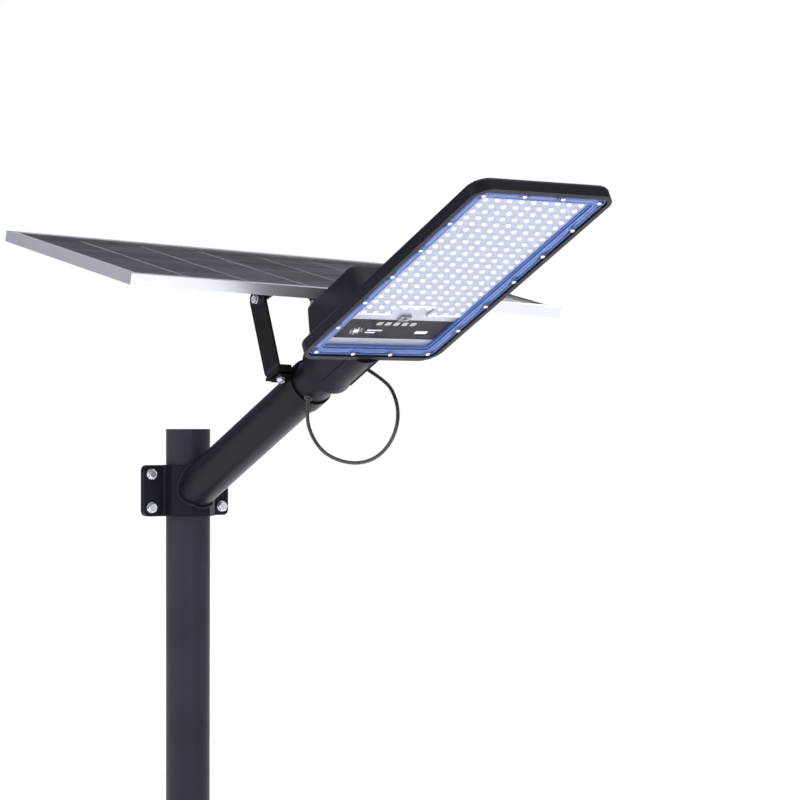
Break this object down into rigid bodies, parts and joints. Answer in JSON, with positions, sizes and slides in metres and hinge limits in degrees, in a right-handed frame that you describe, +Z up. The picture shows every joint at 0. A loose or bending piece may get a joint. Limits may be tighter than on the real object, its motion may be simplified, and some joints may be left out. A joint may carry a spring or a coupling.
{
  "type": "solar street lamp",
  "caption": "Solar street lamp head on an inclined arm clamped to a round pole, with a bracketed solar panel that tilts over the arm.",
  "frame": {"origin": "centre of the pole section's lower end", "axes": "+Z up the pole, -Y along the arm towards the lamp head, +X to the right of someone who looks along +Y"},
  "size_m": [0.7071, 0.8788, 0.9039],
  "materials": {
    "pole_paint": "satin dark grey powder coat",
    "arm_paint": "satin blue-black powder coat",
    "bracket_paint": "satin black powder coat",
    "housing_paint": "fine textured blue-black powder coat on die-cast aluminium",
    "zinc": "bright zinc plate",
    "rubber_black": "matt black rubber",
    "cable_black": "satin black cable sheath",
    "clear_cover": "clear polished sheet",
    "blue_seal": "translucent blue rubbery plastic",
    "board_white": "white solder mask",
    "led_phosphor": "pale yellow phosphor under clear resin",
    "lens_clear": "clear moulded lens sheet",
    "sensor_grey": "grey sensor window",
    "label_black": "printed black film",
    "label_silver": "silver grey coated plate",
    "indicator": "pale grey translucent windows",
    "circuit_green": "green circuit board with parts",
    "battery_can": "blue shrink wrap over an aluminium can",
    "holder_plastic": "black moulded plate",
    "foam_grey": "grey foam pad",
    "panel_aluminium": "clear anodised extrusion",
    "panel_glass": "lightly textured solar glass",
    "solar_cell": "dark monocrystalline silicon",
    "backsheet_white": "white backsheet",
    "junction_black": "black moulded plastic"
  },
  "bodies": {
    "pole": {"pole": "pole_paint", "pole_cap": "pole_paint"},
    "arm": {"clamp_front": "arm_paint", "clamp_rear": "arm_paint", "clamp_bolts": "zinc", "clamp_nuts": "zinc", "clamp_washers": "zinc", "arm_tube": "arm_paint", "arm_weld": "arm_paint", "loop_grommet": "rubber_black", "lead_grommet": "rubber_black", "neck_grommet": "rubber_black", "head_housing": "housing_paint", "neck_bolts": "zinc", "lens_cover": "clear_cover", "seal_frame": "blue_seal", "cover_screws": "zinc", "led_board": "board_white", "board_screws": "zinc", "led_chips": "led_phosphor", "lens_sheet": "lens_clear", "light_sensor": "sensor_grey", "controller_plate": "label_silver", "label_band": "label_black", "charge_indicators": "indicator", "charge_controller": "circuit_green", "battery_cells": "battery_can", "battery_holder": "holder_plastic", "battery_pad": "foam_grey", "loop_cable": "cable_black"},
    "bracket": {"bracket_saddle": "bracket_paint", "bracket_strap": "bracket_paint", "bracket_leg_left": "bracket_paint", "bracket_leg_right": "bracket_paint", "bracket_bolts": "zinc", "bracket_nuts": "zinc", "bracket_washers": "zinc"},
    "panel": {"panel_frame_front": "panel_aluminium", "panel_frame_right": "panel_aluminium", "panel_frame_rear": "panel_aluminium", "panel_frame_left": "panel_aluminium", "panel_glass": "panel_glass", "panel_backsheet": "backsheet_white", "solar_cells": "solar_cell", "panel_corner_keys": "panel_aluminium", "junction_box": "junction_black", "junction_lid": "junction_black", "lead_gland": "junction_black", "panel_rail_left": "bracket_paint", "panel_rail_right": "bracket_paint", "rail_screws": "zinc", "hinge_bolts": "zinc", "hinge_nuts": "zinc", "hinge_washers": "zinc"}
  },
  "joints": [
    {"name": "pole_swivel", "type": "hinge", "parent": "pole", "child": "arm", "pos_m": [0, 0, 0.5096], "axis": [0, 0, 1], "continuous": true},
    {"name": "bracket_roll", "type": "hinge", "parent": "arm", "child": "bracket", "pos_m": [0, -0.31076, 0.65793], "axis": [0, 0.893, -0.4501], "range_deg": [-6, 1.5]},
    {"name": "panel_tilt", "type": "hinge", "parent": "bracket", "child": "panel", "pos_m": [0.00528, -0.25693, 0.77806], "axis": [0.9992, -0.0181, -0.0358], "range_deg": [-60, 1]}
  ]
}
